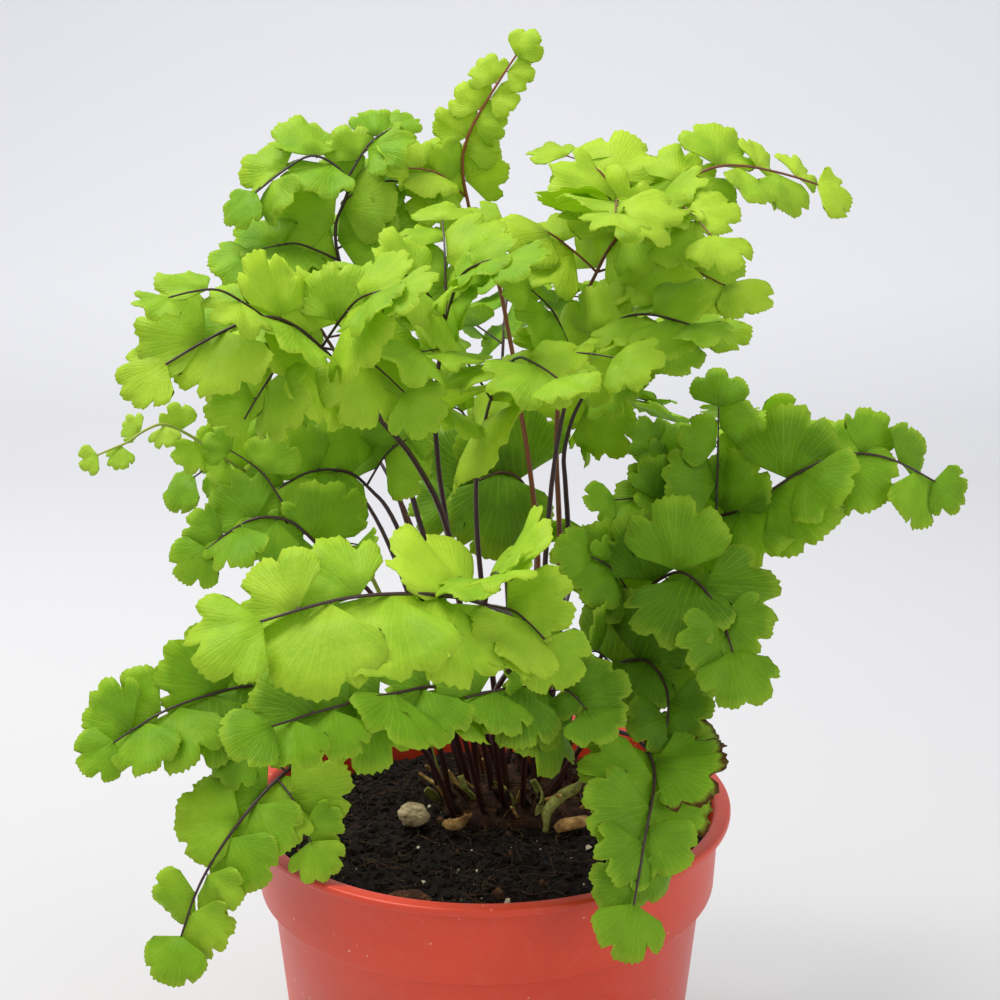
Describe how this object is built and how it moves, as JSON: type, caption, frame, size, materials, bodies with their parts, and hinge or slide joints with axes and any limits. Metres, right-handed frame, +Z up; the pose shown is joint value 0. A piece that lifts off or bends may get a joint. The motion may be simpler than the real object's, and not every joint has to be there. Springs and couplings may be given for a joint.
{
  "type": "potted fern",
  "caption": "Maidenhair fern with many arching fronds of fan-shaped leaflets on thin dark stems, growing in peat in a round orange-red plastic nursery pot.",
  "frame": {"origin": "centre of the pot's flat base, on the surface it stands on", "axes": "+Z up along the pot's axis; -Y is the front, the side the picture shows; +X is to the right seen from the front"},
  "size_m": [0.1965, 0.2468, 0.2858],
  "materials": {
    "pot": "satin moulded polypropylene, orange-red",
    "soil": "matte damp peat",
    "crown": "rough and matte",
    "stem": "smooth and slightly glossy, near black",
    "leaf": "soft matte leaf, lets light through",
    "young": "soft young growth, yellow-green",
    "chip": "matte and worn",
    "bark": "matte and rough",
    "dry": "dry and matte"
  },
  "bodies": {
    "root": {"bark_chip": "bark", "crown": "crown", "dry_leaf": "dry", "leaf_back_far_left": "leaf", "leaf_back_left": "leaf", "leaf_back_low": "leaf", "leaf_back_middle": "leaf", "leaf_back_right": "leaf", "leaf_centre_fan": "leaf", "leaf_high_front": "leaf", "leaf_high_left": "leaf", "leaf_high_middle": "leaf", "leaf_high_right": "leaf", "leaf_inner_left": "leaf", "leaf_long_right": "leaf", "leaf_low_front": "leaf", "leaf_low_front_left": "leaf", "leaf_low_front_right": "leaf", "leaf_low_left": "leaf", "leaf_low_right": "leaf", "leaf_low_rim_left": "leaf", "leaf_low_rim_right": "leaf", "leaf_mid_left": "leaf", "leaf_mid_right": "leaf", "leaf_top_left": "leaf", "leaf_top_right": "leaf", "leaf_top_shoot": "leaf", "leaf_upper_left": "leaf", "leaf_upper_right": "leaf", "leaf_young_left": "young", "pale_chip": "chip", "pot": "pot", "soil": "soil", "stem_back_far_left": "stem", "stem_back_left": "stem", "stem_back_low": "stem", "stem_back_middle": "stem", "stem_back_right": "stem", "stem_centre_fan": "stem", "stem_high_front": "stem", "stem_high_left": "stem", "stem_high_middle": "stem", "stem_high_right": "stem", "stem_inner_left": "stem", "stem_long_right": "stem", "stem_low_front": "stem", "stem_low_front_left": "stem", "stem_low_front_right": "stem", "stem_low_left": "stem", "stem_low_right": "stem", "stem_low_rim_left": "stem", "stem_low_rim_right": "stem", "stem_mid_left": "stem", "stem_mid_right": "stem", "stem_top_left": "stem", "stem_top_right": "stem", "stem_top_shoot": "stem", "stem_upper_left": "stem", "stem_upper_right": "stem", "stem_young_left": "young"}
  },
  "joints": []
}
